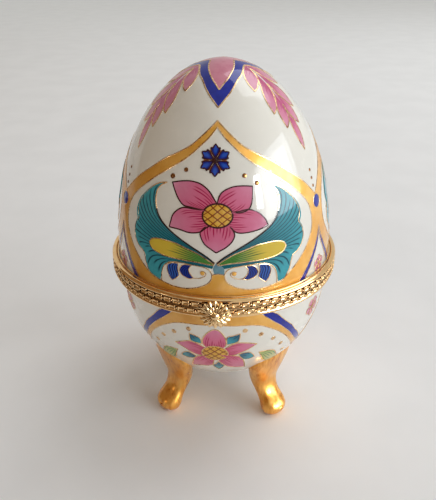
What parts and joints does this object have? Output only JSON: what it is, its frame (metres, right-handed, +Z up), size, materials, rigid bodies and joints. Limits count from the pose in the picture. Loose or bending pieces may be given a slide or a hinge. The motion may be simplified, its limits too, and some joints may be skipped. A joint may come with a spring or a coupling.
{
  "type": "trinket box",
  "caption": "Egg-shaped porcelain trinket box with a hinged lid, beaded gilt rims, a flower clasp and gilded cabriole feet.",
  "frame": {"origin": "on the egg's axis at the floor, under the middle of the box", "axes": "+Z up, the clasp faces -Y and the hinge is at +Y"},
  "size_m": [0.072, 0.0768, 0.1125],
  "materials": {
    "porcelain": "clear glossy glaze over cream porcelain, with fired transfer decoration",
    "gold_lustre": "fired gold lustre, glossy and slightly worn",
    "rim_metal": "gold-plated brass, polished, darker in the recesses",
    "hinge_metal": "gold-plated brass, satin on the barrel",
    "clasp_metal": "stamped gold-plated brass, polished on the high points",
    "cement": "matt white setting cement"
  },
  "bodies": {
    "base": {"base_shell": "porcelain", "base_cement": "cement", "base_rim": "rim_metal", "base_bead_wire": "rim_metal", "foot_front_left": "gold_lustre", "foot_front_right": "gold_lustre", "foot_rear_left": "gold_lustre", "foot_rear_right": "gold_lustre", "hinge_base_leaf": "hinge_metal", "hinge_knuckle_left": "hinge_metal", "hinge_knuckle_right": "hinge_metal", "hinge_pin": "hinge_metal", "catch_stud": "clasp_metal"},
    "lid": {"lid_shell": "porcelain", "lid_cement": "cement", "lid_rim": "rim_metal", "lid_bead_wire": "rim_metal", "hinge_lid_leaf": "hinge_metal", "hinge_lid_knuckle": "hinge_metal"},
    "clasp": {"clasp_tongue": "clasp_metal", "clasp_flower": "clasp_metal", "clasp_bead": "clasp_metal"}
  },
  "joints": [
    {"name": "lid_hinge", "type": "hinge", "parent": "base", "child": "lid", "pos_m": [0, 0.03725, 0.052], "axis": [-1, 0, 0], "range_deg": [0, 95]},
    {"name": "clasp_flex", "type": "hinge", "parent": "lid", "child": "clasp", "pos_m": [0, -0.0363, 0.0542], "axis": [-1, 0, 0], "range_deg": [0, 5], "stiffness_Nm_per_rad": 0.02}
  ]
}
